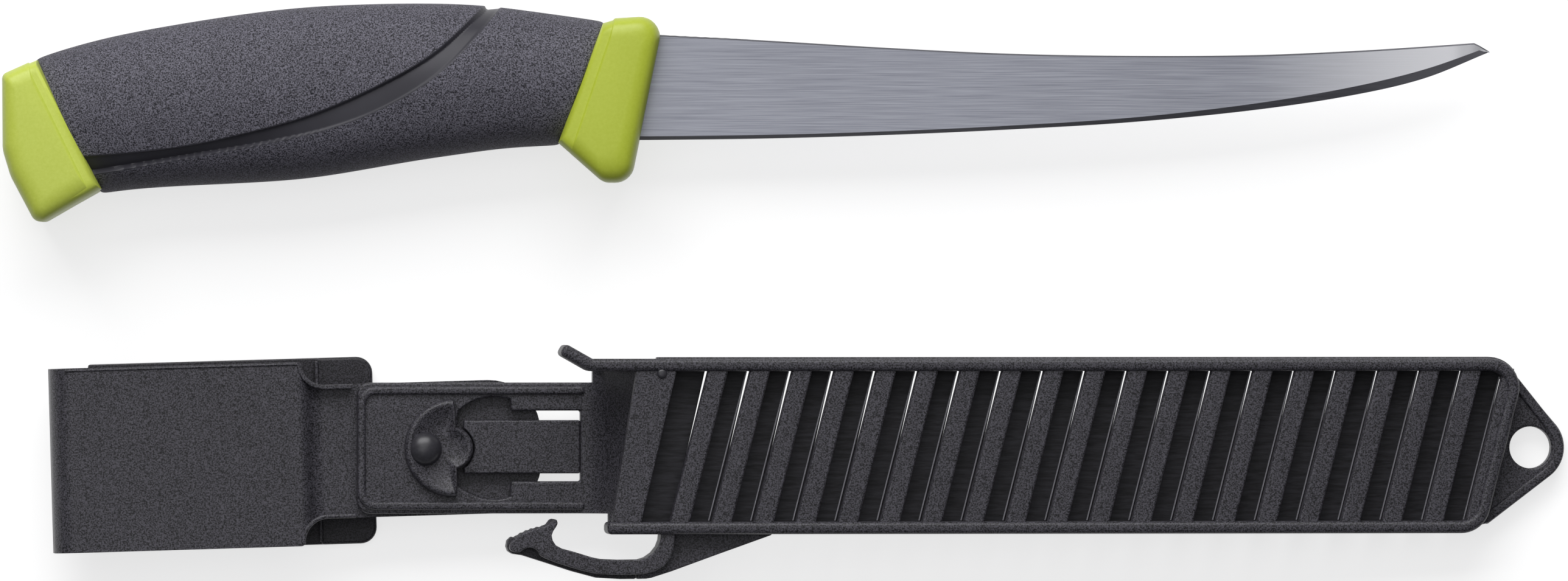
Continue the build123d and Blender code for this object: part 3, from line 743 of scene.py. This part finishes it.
blade = start("blade", bpy.ops.mesh.primitive_grid_add, size=1, x_subdivisions=bladeForm["columns"],
              y_subdivisions=bladeForm["rows"])
first, last = bladeForm["shares"][0][0], bladeForm["shares"][-1][0]
clipStart, clipEnd = bladeForm["clip"]
step, spineRound = bladeForm["step"], bladeForm["spineRound"]
(grindShare, grindHalf), (fast, slow, offset) = bladeForm["grind"], bladeForm["dentWaves"]
for point in blade.data.vertices:
    along = first + (point.co.x + 0.5) * (last - first)
    row = round((0.5 - point.co.y) * bladeForm["rows"])  # 0 is the spine, the last row is the edge
    spine, edgeLine, bevelHeight, half = bladeSection(along, bladeForm)
    clipShare = (along - clipStart[0]) / (clipEnd[0] - clipStart[0])
    if clipShare > 0:
        spine = min(spine, (clipStart[1] + (clipEnd[1] - clipStart[1]) * clipShare) * bladeForm["height"])
    x = along * bladeForm["length"]
    if bladeForm["dents"][0] < x < bladeForm["dents"][1]:
        # small dents left on the spine
        spine += bladeForm["dentDepth"] * math.sin(x * fast) * math.sin(x * slow + offset)
    bevelTop = max(min(edgeLine + bevelHeight, spine - 2 * spineRound), edgeLine + step)
    half = half * max(bladeForm["thinnest"], min(1, (spine - edgeLine) / bladeForm["thinBelow"]))
    levels = [
        (spine - step, half - spineRound), (spine - spineRound, half),
        *((spine * share + bevelTop * (1 - share), half) for share in bladeForm["flankRows"]),
        (bevelTop + step, half), (edgeLine + grindShare * (bevelTop - edgeLine), half * grindShare + grindHalf),
        (edgeLine + bladeForm["edgeRise"], bladeForm["edge"] / 2), (edgeLine, 0),
    ]
    point.co = (x, *levels[row - 1]) if row else (x, spine, 0)
mirror = blade.modifiers.new("mirror", "MIRROR")
mirror.use_axis = (False, False, True)
mirror.merge_threshold = 0.01
applyAll(blade)
capEnds(blade)
edit()
bpy.ops.mesh.flip_normals()  # so thin a shell comes out of the cap inside out
leave()
paint(steel, blade)
paint(bevelSteel, blade)
for face in blade.data.polygons:
    if abs(face.normal.z) < bladeForm["lowerFlat" if face.normal.y < 0 else "flat"]:
        face.material_index = 1
finish(blade, knifePlace, "knife", steel, "blade_steel", "blade", smooth=12)
print("blade ready", len(blade.data.polygons))


# Sheath body: rim, slats, back bars and throat

bodyForm = {
    "length": 166, "height": 32.3, "back": -4, "front": 4.4, "rim": 2.3, "corner": 5.5, "lean": 14.2,
    "topLead": 7.8, "bottomLead": 4.8, "tabTip": (-13.1, 18.0), "edge": 0.8,
    "ledgeWidth": 0.5, "ledgeDepth": 2.6, "ledgeLevel": 0.6, "ledgeStart": 4.5, "ledgeDrop": 9, "ledgeProud": 0.05,
    "ledgeEdge": 0.2, "slatStart": 10.35, "slatPitch": 7.77, "slatWidth": 3.65, "slatCount": 20,
    "slatBottom": 1.8, "slatTop": 3.8, "slatEdge": 0.4, "foot": 0.15, "sunk": 0.4, "endSunk": 0.3,
    "barTop": -1.8, "barBottom": -3.7, "barEdge": 0.18, "slit": 0.12, "taper": 0.8, "narrower": 0.0235,
    "brow": 0.26, "browTop": -1.3, "browEdge": 0.1, "browSunk": 0.3, "browShort": 0.5, "under": 0.4,
    "firstStart": 3.75,
}
slant = math.tan(math.radians(bodyForm["lean"]))
halfHeight = bodyForm["height"] / 2
midRim = halfHeight - bodyForm["rim"] / 2
endRim = bodyForm["rim"] / 2 / math.cos(math.radians(bodyForm["lean"]))
rimEnd = bodyForm["length"] - endRim
rimPath = [
    (-bodyForm["bottomLead"], -midRim),
    (rimEnd - (halfHeight + midRim) * slant, -midRim),
    (rimEnd - (halfHeight - midRim) * slant, midRim),
    (-bodyForm["topLead"], midRim),
    bodyForm["tabTip"],
]
bend, front, back = bodyForm["corner"] - bodyForm["rim"] / 2, bodyForm["front"], bodyForm["back"]
rim = sweep("rim", bodyForm["rim"], front - back, (front + back) / 2, rimPath, [bend, bend, 2], steps=10)
soften(rim, bodyForm["edge"], 3)
ledgeY, drop = halfHeight + bodyForm["ledgeProud"], bodyForm["ledgeDrop"]
ledge = sweep("ledge", bodyForm["ledgeWidth"], bodyForm["ledgeDepth"], bodyForm["ledgeLevel"],
              [(bodyForm["ledgeStart"], ledgeY), (bodyForm["length"] + bodyForm["ledgeProud"], ledgeY),
               (bodyForm["length"] - drop * slant, ledgeY - drop)], [bodyForm["corner"]], steps=10)
soften(ledge, bodyForm["ledgeEdge"], 2)
finishSheath([rim, ledge], "body_rim", "guide_tab")


def leaningStrip(name, left, width, bottom, top, reach, narrow=0):
    # one strip between the rails, drawn upright and then leaned over
    strip = start(name, bpy.ops.mesh.primitive_cube_add, size=1)
    strip.location = (left + width / 2, 0, (bottom + top) / 2)
    strip.scale = (width, 2 * reach, top - bottom)
    bpy.ops.object.transform_apply()
    edit()
    pick(strip, lambda place: place.y > 0)
    shift(reach * slant, 0, 0)
    pick(strip, lambda place: place.y < 0)
    shift(-reach * slant, 0, 0)
    if narrow:
        pick(strip, lambda place: place.y < 0 and place.x > left + width / 2 - reach * slant)
        shift(narrow, 0, 0)
    closeUp()
    return strip


reach = halfHeight - bodyForm["rim"] + bodyForm["sunk"]
slat = leaningStrip("slats", bodyForm["slatStart"], bodyForm["slatWidth"], bodyForm["slatBottom"],
                    bodyForm["slatTop"], reach)
edit()
pick(slat, lambda place: place.z < bodyForm["slatTop"] - 0.1
     and place.x - place.y * slant < bodyForm["slatStart"] + bodyForm["slatWidth"] / 2)
shift(-bodyForm["foot"], 0, 0)
leave()
soften(slat, bodyForm["slatEdge"], 3)
slats = repeat(slat, bodyForm["slatCount"], bodyForm["slatPitch"])
lean = math.radians(bodyForm["lean"])
innerEnd = bodyForm["length"] - halfHeight * slant - 2 * endRim + bodyForm["endSunk"]
cutAway(slats[-1], (innerEnd, 0, 0), (math.cos(lean), -math.sin(lean), 0))
finishSheath(slats, "front_slats")

barShape = (bodyForm["barBottom"], bodyForm["barTop"], reach, bodyForm["taper"])
left, right = bodyForm["firstStart"], bodyForm["slatStart"] - bodyForm["slit"]
firstBar = leaningStrip("firstBar", left, right - left, *barShape)
soften(firstBar, bodyForm["barEdge"], 2)
left, right = bodyForm["slatStart"] + bodyForm["slatWidth"] - bodyForm["under"], right + bodyForm["slatPitch"]
bar = leaningStrip("bars", left, right - left, *barShape)
soften(bar, bodyForm["barEdge"], 2)
# the slit closes towards its lower end; a fine raised line beside it carries a painted highlight, pale grey in its
# colour
brow = leaningStrip("brow", right - bodyForm["brow"], bodyForm["brow"], bodyForm["barTop"] - bodyForm["browSunk"],
                    bodyForm["browTop"], reach - bodyForm["browShort"])
soften(brow, bodyForm["browEdge"], 2)
paint(darkPlastic, bar, firstBar)
# the raised lines are painted pale as their highlight
paint(paintedHighlightPlastic, brow)
bars = repeat(joined([bar, brow]), bodyForm["slatCount"] - 1, bodyForm["slatPitch"] + bodyForm["narrower"])
finishSheath(bars + [firstBar], "back_bars", material=darkPlastic)
print("rim, slats and bars ready")


# Throat panel with its small stop, and the ramp that climbs to it from the neck

throatForm = {
    "outline": [(0.6, 14.1), (-3.95, -14.1), (1.5, -14.1), (8.1, 14.1)], "bottom": 1.8, "thickness": 2, "edge": 0.35,
    "stop": (5.3, 13.45), "stopRadius": 0.95, "stopTop": 4.3, "stopEdge": 0.5,
}
panel = trace("throatPanel", throatForm["outline"], throatForm["bottom"], throatForm["thickness"])
soften(panel, throatForm["edge"], 2)
stop = trace("stop", circle(throatForm["stop"], throatForm["stopRadius"], 24),
             throatForm["bottom"], throatForm["stopTop"] - throatForm["bottom"])
soften(stop, throatForm["stopEdge"], 3)
paint(plainPlastic, stop)
paint(blackPlastic, panel)
finishSheath([panel, stop], "throat_panel")

rampForm = {
    "wall": 2.2, "path": [(-12, -14.15), (-5.3, -14.15), (2.6, -2.95), (7.4, -2.95)], "bends": [8, 2.5], "width": 40,
    "plan": [(-8.1, -12.5), (-3.3, -12.5), (-3.3, -15.9), (8, -15.9), (8, 15.9), (-6.1, 15.9), (-6.1, 11.7),
             (-8.1, 11.7)],
    "side": [(-6.0, 15.5), (-6.0, 14.3), (3, 14.3), (3, 15.5)], "sideBottom": -12, "sideHeight": 10, "edge": 0.3,
}
ramp = sweep("ramp", rampForm["wall"], rampForm["width"], 0, rampForm["path"], rampForm["bends"], steps=8)
stand(ramp)
carve(ramp, trace("rampPlan", rampForm["plan"], -30, 60), "INTERSECT")
soften(ramp, rampForm["edge"], 2, angle=50)
side = trace("side", rampForm["side"], rampForm["sideBottom"], rampForm["sideHeight"])
soften(side, rampForm["edge"], 2)
finishSheath([ramp, side], "neck_ramp")


# Neck: plate with its keyhole, raised border and side wall

neckForm = {
    "start": -49.6, "end": -5.9, "top": 11.7, "bottom": -12.5, "level": -15.4, "wall": 2.4, "corner": 2.4,
    "middle": -0.4, "stud": -32.2, "stem": 4.25, "key": -24.3, "keyRadius": 9.5, "keyLeft": -31, "keyRight": -21.2,
    "window": (6.5, -6.55), "windowEnd": -8.3, "edge": 0.4, "beadWidth": 1.5, "beadDepth": 1.4, "beadLevel": -12.95,
    "beadEnd": -7.6, "beadInset": 0.7, "beadBend": 2.6, "beadEdge": 0.5,
}
left, right = neckForm["start"], neckForm["end"]
up, down, corner = neckForm["top"], neckForm["bottom"], neckForm["corner"]
outline = (arc((left + corner, up - corner), corner, 90, 180, 6)
           + arc((left + corner, down + corner), corner, 180, 270, 6) + [(right, down), (right, up)])
neck = trace("neckPlate", outline, neckForm["level"], neckForm["wall"])
middle = neckForm["middle"]
keyCentre, keyRadius = (neckForm["key"], middle), neckForm["keyRadius"]
right, left = neckForm["keyRight"], neckForm["keyLeft"]
rightAngle, leftAngle = (math.degrees(math.acos((side - neckForm["key"]) / keyRadius)) for side in (right, left))
stemTop, stemBottom = middle + neckForm["stem"], middle - neckForm["stem"]
(windowTop, windowBottom), windowEnd = neckForm["window"], neckForm["windowEnd"]
keyhole = (arc(keyCentre, keyRadius, rightAngle, leftAngle, 10)
           + [(left, stemTop)] + arc((neckForm["stud"], middle), neckForm["stem"], 90, 270, 14) + [(left, stemBottom)]
           + arc(keyCentre, keyRadius, 360 - leftAngle, 360 - rightAngle, 10)
           + [(right, windowBottom), (windowEnd, windowBottom), (windowEnd, windowTop), (right, windowTop)])
carve(neck, trace("keyhole", keyhole, neckForm["level"] - 1, neckForm["wall"] + 2))
soften(neck, neckForm["edge"], 3)
beadEnd, beadWidth = neckForm["beadEnd"], neckForm["beadWidth"]
beadX, beadInset = neckForm["start"] + beadWidth / 2, neckForm["beadInset"] + beadWidth / 2
beadTop, beadBottom = up - beadInset, down + beadInset
bead = sweep("bead", beadWidth, neckForm["beadDepth"], neckForm["beadLevel"],
             [(beadEnd, beadTop), (beadX, beadTop), (beadX, beadBottom), (beadEnd, beadBottom)],
             [neckForm["beadBend"]] * 2, steps=8)
soften(bead, neckForm["beadEdge"], 4)
finishSheath([neck, bead], "neck_plate")


# Lock tongue: a springy strip whose end is hollowed round the stud

tongueForm = {"tip": -29.95, "root": -8.35, "sides": (4.75, -5.1), "top": -13, "wall": 1.8, "edge": 0.35}
tip, root, (up, down) = tongueForm["tip"], tongueForm["root"], tongueForm["sides"]
tipAngle = math.degrees(math.acos((tip - neckForm["stud"]) / neckForm["stem"]))
hollow = arc((neckForm["stud"], middle), neckForm["stem"], -tipAngle, tipAngle, 12)
tongue = trace("lockTongue", hollow + [(tip, up), (root, up), (root, down), (tip, down)],
               tongueForm["top"] - tongueForm["wall"], tongueForm["wall"])
soften(tongue, tongueForm["edge"], 3)
finishSheath([tongue], "lock_tongue", body="tongue")
print("throat, neck and tongue ready")


# Belt clip: one strip bent through fold, front leg, step and strap, trimmed to its outline

clipForm = {
    "wall": 2.2, "width": 34.6, "path": [(18, -16.7), (-25.2, -16.7), (-27.6, -14.5), (-72.5, -14.5),
                                         (-72.5, -24.9), (-65.7, -24.9)],
    "bends": [5, 1.2, 3.2, 3.2], "edge": 0.75, "shoulder": -27.4, "strapHalf": 12.35, "hollow": 4.3,
    "cornerRadius": 0.8, "beyond": 20, "strapEnd": 16.8, "strapRound": 9.5,
    "lipWidth": 0.8, "lipDepth": 2.6, "lipMiddle": -14.5, "lipEnd": -17.9, "lipEdge": 0.3,
    "lipSunk": 0.3, "lower": 0.6, "brim": (-71, 0.55, 0.9), "brimEdge": 0.25, "brimInset": 0.1, "brimShort": 0.4,
}
strip = sweep("beltClip", clipForm["wall"], clipForm["width"], 0, clipForm["path"], clipForm["bends"], steps=8)
stand(strip)
half, hollow, cornerRadius = clipForm["width"] / 2, clipForm["hollow"], clipForm["cornerRadius"]
shoulder, strapHalf, beyond = clipForm["shoulder"], clipForm["strapHalf"], clipForm["beyond"]
end, endRound = clipForm["strapEnd"], clipForm["strapRound"]
topHalf = (arc((shoulder - cornerRadius, half - cornerRadius), cornerRadius, 90, 0, 4)
           + arc((shoulder + hollow, strapHalf + hollow), hollow, 180, 270, 10)
           + arc((end - endRound, strapHalf - endRound), endRound, 90, 0, 10))
plan = ([(-4 * beyond, half)] + topHalf + [(x, -y) for x, y in reversed(topHalf)] + [(-4 * beyond, -half)])
# the front leg's upper edge lies a little lower than the rear leg's
plan = [(x, min(y, half - clipForm["lower"])) for x, y in plan]
carve(strip, trace("clipPlan", plan, -2 * beyond, 2 * beyond), "INTERSECT")
soften(strip, clipForm["edge"], 4, angle=50)
lips = [strip]
for side in (1, -1):
    line = shoulder - clipForm["lipWidth"] / 2
    level = side * (strapHalf - clipForm["lipWidth"] / 2)
    outermost = side * (half - clipForm["lipSunk"]) - (clipForm["lower"] if side > 0 else 0)
    lip = sweep("lip", clipForm["lipWidth"], clipForm["lipDepth"], clipForm["lipMiddle"],
                [(line, outermost), (line, level), (clipForm["lipEnd"], level)],
                [hollow + clipForm["lipWidth"] / 2], steps=10)
    soften(lip, clipForm["lipEdge"], 3)
    lips.append(lip)
brimStart, brimWidth, brimHeight = clipForm["brim"]
brimLevel = half - clipForm["lower"] - brimWidth / 2 - clipForm["brimInset"]
brim = sweep("brim", brimWidth, brimHeight, clipForm["lipMiddle"] + clipForm["lipDepth"] / 2 - brimHeight / 2,
             [(brimStart, brimLevel), (shoulder - clipForm["brimShort"], brimLevel)], [])
soften(brim, clipForm["brimEdge"], 3)
lips.append(brim)
finishSheath(lips, "belt_clip", place=clipPlace)

legForm = {
    "start": -66, "end": -13.4, "half": 17.3, "bottom": -26, "wall": 2.2, "corner": 3, "edge": 0.6,
    "ridge": -23.8, "ridgeWidth": 0.6, "ridgeHeight": 0.4, "ridgeEdge": 0.15, "sunk": 1.0, "innerEdge": 0.4,
    "lipWidth": 3, "lipHeight": 0.7, "lipHalf": 11, "lipEdge": 0.6, "ridgeShort": 0.6, "overlap": 1,
}
legStart, end, half, corner = legForm["start"], legForm["end"], legForm["half"], legForm["corner"]
split, legBottom, wall = legForm["ridge"], legForm["bottom"], legForm["wall"]
leg = trace("clipLeg", [(split, half), (split, -half)] + arc((end - corner, corner - half), corner, -90, 0, 8)
            + arc((end - corner, half - corner), corner, 0, 90, 8), legBottom, wall)
soften(leg, legForm["edge"], 3)
innerEnd = split + legForm["overlap"]
inner = trace("inner", [(legStart, half), (legStart, -half), (innerEnd, -half), (innerEnd, half)], legBottom,
              wall - legForm["sunk"])
soften(inner, legForm["innerEdge"], 2)
legTop, ridgeHalf = legBottom + wall, half - legForm["ridgeShort"]
ridge = sweep("ridge", legForm["ridgeWidth"], legForm["ridgeHeight"] * 2, legTop,
              [(split, -ridgeHalf), (split, ridgeHalf)], [])
soften(ridge, legForm["ridgeEdge"], 2)
lip = sweep("lip", legForm["lipWidth"], legForm["lipHeight"] * 2, legTop,
            [(end - corner, -legForm["lipHalf"]), (end - corner, legForm["lipHalf"])], [])
soften(lip, legForm["lipEdge"], 4)
# the rear leg, its sunk inner part and its lip lie under the clip: painted shade, in the darker copy
paint(shadePlastic, leg, inner, lip)
paint(blackPlastic, ridge)
finishSheath([leg, inner, ridge, lip], "clip_leg", place=clipPlace, body="rear_leg", material=shadePlastic)
print("belt clip ready")


# Lock stud: a half-moon with a round lobe, dished inside its lip, with a ball in it, on the clip's stem

studForm = {
    "offset": 0.3, "flat": 0.85, "radius": 9.0, "lobe": 3.95, "centre": (-1.6, 0),
    # level and how far drawn in, from the foot over the lip into the dish
    "profile": [(-12.8, 0), (-12.2, 0), (-11.75, 0.08), (-11.4, 0.3), (-11.2, 0.65), (-11.2, 1.0), (-11.4, 1.5),
                (-11.8, 2.4), (-12.15, 3.6), (-12.35, 5), (-12.42, 6.4)],
    "trim": 2, "onFlat": (5.5, 7.2), "stem": 3.9, "stemBottom": -15.6, "stemSunk": 0.3, "ballSunk": 0.05,
    "ballX": -4.95, "ballRadius": 3.1, "ballMiddle": -12.2, "ballHeight": 2.3,
}
flat = studForm["flat"]
lobeAngle = math.degrees(math.acos(flat / studForm["lobe"]))
moonAngle = math.degrees(math.acos((flat - studForm["offset"]) / studForm["radius"]))
moonStart, (low, high) = moonAngle + studForm["trim"], studForm["onFlat"]
outline = (arc((0, 0), studForm["lobe"], -lobeAngle, lobeAngle, 20) + [(flat, low), (flat, high)]
           + arc((studForm["offset"], 0), studForm["radius"], moonStart, 360 - moonStart, 56)
           + [(flat, -high), (flat, -low)])
head = layers("lockStud", outline, studForm["profile"], studForm["centre"])
foot, stemBottom = studForm["profile"][0][0], studForm["stemBottom"]
stem = trace("stem", circle((0, 0), studForm["stem"], 36), stemBottom, foot + studForm["stemSunk"] - stemBottom)
ball = start("ball", bpy.ops.mesh.primitive_uv_sphere_add, segments=48, ring_count=24,
             radius=studForm["ballRadius"], location=(studForm["ballX"], 0, studForm["ballMiddle"]))
ball.scale = (1, 1, studForm["ballHeight"] / studForm["ballRadius"])
bpy.ops.object.transform_apply()
cutAway(ball, (0, 0, foot + studForm["ballSunk"]), (0, 0, -1))
paint(blackPlastic, head, stem)
paint(plainPlastic, ball)
finishSheath([head, stem, ball], "lock_stud", place=clipPlace, flat=False)


# Release arm: a raised rib with a lower flange, thumb pad and tooth; bracket and web on the sheath

armForm = {
    "bottom": -3.5, "ribTop": 3.5, "flangeTop": 0.6, "webTop": 0.5, "edge": 0.6, "lowEdge": 0.3, "root": 0.45,
    "rib": [(5.18, -15.71), (5.05, -17.19), (4.59, -18.4), (3.69, -19.57), (2.47, -20.43), (1.21, -20.83),
            (-2.41, -20.88), (-5.57, -20.74), (-7.6, -20.34), (-9.64, -19.71), (-11.44, -19.17),
            (-13.16, -18.72), (-14.24, -18.13), (-14.83, -17.24), (-15.01, -16.34), (-14.74, -15.53),
            (-14.24, -14.81), (-13.88, -14.13), (-14.06, -13.46), (-14.56, -13.28), (-15.06, -13.55),
            (-15.69, -14.4), (-16.41, -14.63), (-16.77, -14.9), (-17.31, -14.76), (-17.86, -15.17),
            (-18.35, -15.03), (-18.85, -15.48), (-19.35, -15.39), (-19.84, -15.89), (-20.34, -15.84),
            (-20.79, -16.34), (-21.29, -16.43), (-21.7, -16.92), (-22.28, -17.32), (-22.64, -17.95),
            (-22.78, -18.63), (-22.46, -19.17), (-21.74, -19.39), (-20.84, -19.39), (-20.2, -18.85),
            (-19.48, -18.58), (-18.67, -18.54), (-17.95, -18.81), (-17.4, -19.35), (-17.13, -20.02),
            (-15.96, -20.61), (-13.7, -21.46), (-11.44, -22.18), (-9.18, -22.85), (-6.93, -23.35),
            (-4.21, -23.53), (-0.6, -23.57), (2.11, -23.39), (4.14, -22.85), (5.72, -21.91), (6.9, -20.47),
            (7.48, -18.76), (7.8, -15.71)],
    "flange": [(0.73, -24.4), (-2.12, -24.42), (-6.63, -24.16), (-11.15, -22.94), (-15.67, -21.46),
               (-20.19, -20.02), (-21.99, -19.75), (-22.76, -19.26), (-23.08, -18.4), (-22.9, -17.32),
               (-22.08, -16.52), (-21.09, -17.06), (-20.64, -18.31), (-16.57, -18.76), (-15.67, -19.66),
               (-11.15, -21.01), (-6.63, -22.13), (0.73, -22.36)],
    "web": [(0.95, -24.4), (2.62, -24.36), (3.61, -24.2), (7.14, -23.08), (16.17, -19.8), (25.88, -16.34),
            (25.88, -15.98), (7.14, -15.98), (5.33, -18.76), (0.95, -22.36)],
}
armBottom, root = armForm["bottom"], armForm["root"]
rib = trace("releaseArm", armForm["rib"], armBottom, armForm["ribTop"] - armBottom)
soften(rib, armForm["edge"], 3, angle=30)
bracket = repeat(rib, 2, 0)[1]
bracket.name = "armBracket"
cutAway(rib, (root, 0, 0), (1, 0, 0))
cutAway(bracket, (root, 0, 0), (-1, 0, 0))
flange = trace("flange", armForm["flange"], armBottom, armForm["flangeTop"] - armBottom)
soften(flange, armForm["lowEdge"], 2, angle=40)
paint(blackPlastic, rib)
# the flange below the rib: painted shade, in the darker copy of the black plastic
paint(shadePlastic, flange)
finishSheath([rib, flange], "release_arm", body="arm")
web = trace("web", armForm["web"], armBottom, armForm["webTop"] - armBottom)
soften(web, armForm["lowEdge"], 2, angle=40)
finishSheath([bracket, web], "arm_bracket")


# Tail plate: the eyelet for a cord, with a raised border

tailForm = {
    "eyelet": (166.9, -0.35), "hole": (167.2, -0.35), "radius": 3.87, "outer": 6.62, "bottom": -4.2, "wall": 3,
    "edge": 0.5, "lowerFoot": (157.6, -13.4), "upperFoot": (163.6, 11.4),
    # where the plate's straight sides leave the rim, and the direction that they face
    "lowerSeat": (158.4, -13.89), "lowerAngle": -52.7, "upperSeat": (164.3, 11.3), "upperAngle": 37.2,
    "borderPath": [(155.6, -14.2), (158.9, -13.5), (174.84, -1.43), (164.05, 12.05), (162.2, 12.5)],
    "beadWidth": 1.8, "beadDepth": 1.2, "beadLevel": -1.2, "beadEdge": 0.45, "beadBends": (2, 5.67, 1),
}
lowerAngle, upperAngle = tailForm["lowerAngle"], tailForm["upperAngle"]
lowerSeat = arc(tailForm["lowerSeat"], 1, lowerAngle, lowerAngle, 1)[:1]
upperSeat = arc(tailForm["upperSeat"], 1, upperAngle, upperAngle, 1)[:1]
outline = ([tailForm["lowerFoot"]] + lowerSeat
           + arc(tailForm["eyelet"], tailForm["outer"], lowerAngle, upperAngle, 16)
           + upperSeat + [tailForm["upperFoot"]])
tail = trace("tailPlate", outline, tailForm["bottom"], tailForm["wall"])
eyelet = circle(tailForm["hole"], tailForm["radius"], 48)
carve(tail, trace("eyelet", eyelet, tailForm["bottom"] - 1, tailForm["wall"] + 3))
soften(tail, tailForm["edge"], 3, angle=50)
border = sweep("border", tailForm["beadWidth"], tailForm["beadDepth"], tailForm["beadLevel"],
               tailForm["borderPath"], tailForm["beadBends"], steps=14)
soften(border, tailForm["beadEdge"], 3)
finishSheath([tail, border], "tail_plate")
print("stud, arm and tail ready")
